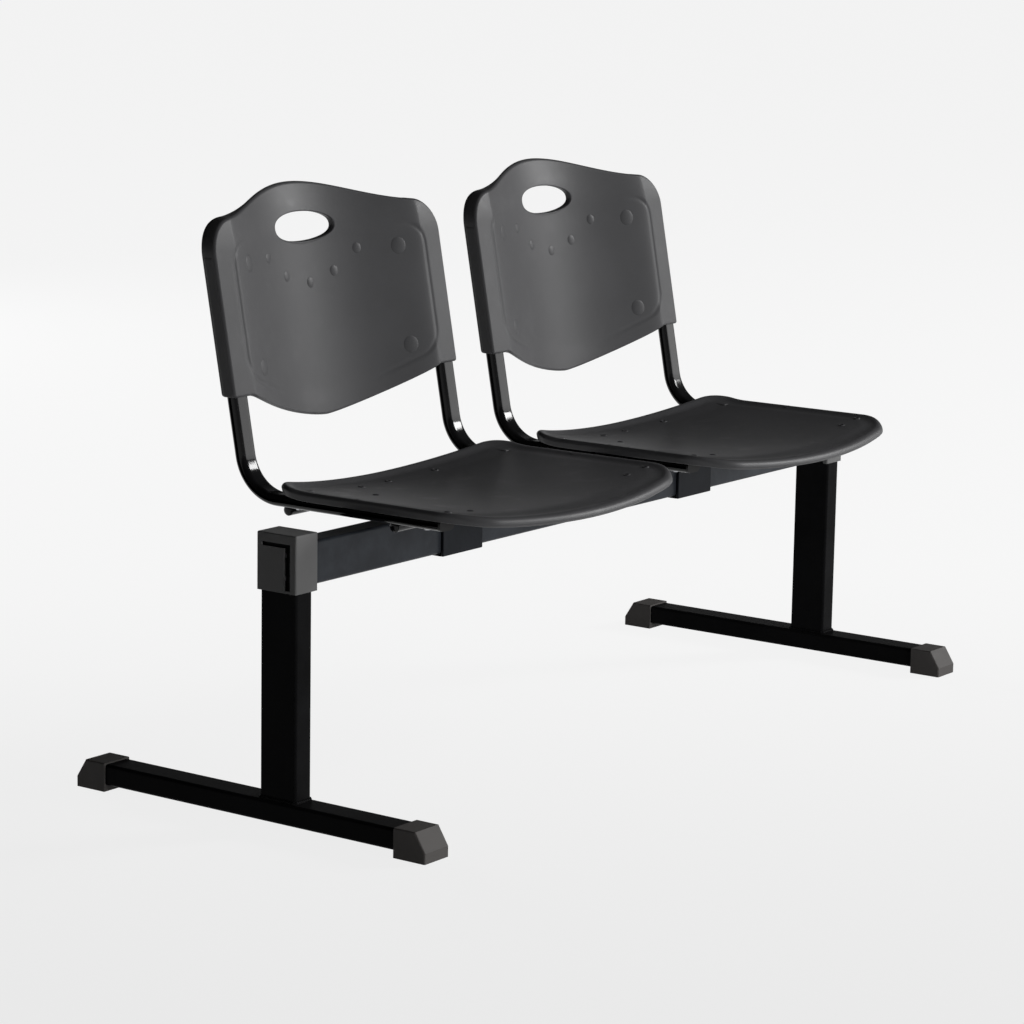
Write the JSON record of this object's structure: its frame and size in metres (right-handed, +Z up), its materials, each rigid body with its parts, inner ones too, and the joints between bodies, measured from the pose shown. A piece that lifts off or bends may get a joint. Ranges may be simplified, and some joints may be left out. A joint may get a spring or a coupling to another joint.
{
  "type": "beam seating",
  "caption": "Waiting bench: steel beam on two inverted-T legs carrying two moulded plastic seats with backrests on bent side tubes.",
  "frame": {"origin": "on the floor, midway between the legs, under the middle of the whole bench", "axes": "+X along the beam, -Y the way the seats face, +Z up"},
  "size_m": [1.287, 0.562, 0.75],
  "materials": {
    "shell_plastic": "black moulded polypropylene, satin with a fine grain",
    "cap_plastic": "dark grey moulded plastic, matte",
    "plug_plastic": "black moulded plastic, matte",
    "frame_paint": "black powder coat, semi-gloss",
    "zinc_fastener": "zinc-plated steel"
  },
  "bodies": {
    "root": {"backrest_1": "shell_plastic", "backrest_2": "shell_plastic", "backrest_screws_1": "zinc_fastener", "backrest_screws_2": "zinc_fastener", "beam": "frame_paint", "clamp_bolts_1": "zinc_fastener", "clamp_bolts_2": "zinc_fastener", "cross_tube_front_1": "frame_paint", "cross_tube_front_2": "frame_paint", "cross_tube_plugs_1": "plug_plastic", "cross_tube_plugs_2": "plug_plastic", "cross_tube_rear_1": "frame_paint", "cross_tube_rear_2": "frame_paint", "end_plate_left": "frame_paint", "end_plate_right": "frame_paint", "foot_cap_front_left": "cap_plastic", "foot_cap_front_right": "cap_plastic", "foot_cap_rear_left": "cap_plastic", "foot_cap_rear_right": "cap_plastic", "foot_tube_left": "frame_paint", "foot_tube_right": "frame_paint", "joint_cover_left": "cap_plastic", "joint_cover_right": "cap_plastic", "keeper_plate_1": "frame_paint", "keeper_plate_2": "frame_paint", "leg_bolts_left": "zinc_fastener", "leg_bolts_right": "zinc_fastener", "post_left": "frame_paint", "post_right": "frame_paint", "saddle_1": "frame_paint", "saddle_2": "frame_paint", "seat_screws_1": "zinc_fastener", "seat_screws_2": "zinc_fastener", "seat_shell_1": "shell_plastic", "seat_shell_2": "shell_plastic", "side_tube_left_1": "frame_paint", "side_tube_left_2": "frame_paint", "side_tube_plugs_1": "plug_plastic", "side_tube_plugs_2": "plug_plastic", "side_tube_right_1": "frame_paint", "side_tube_right_2": "frame_paint"}
  },
  "joints": []
}
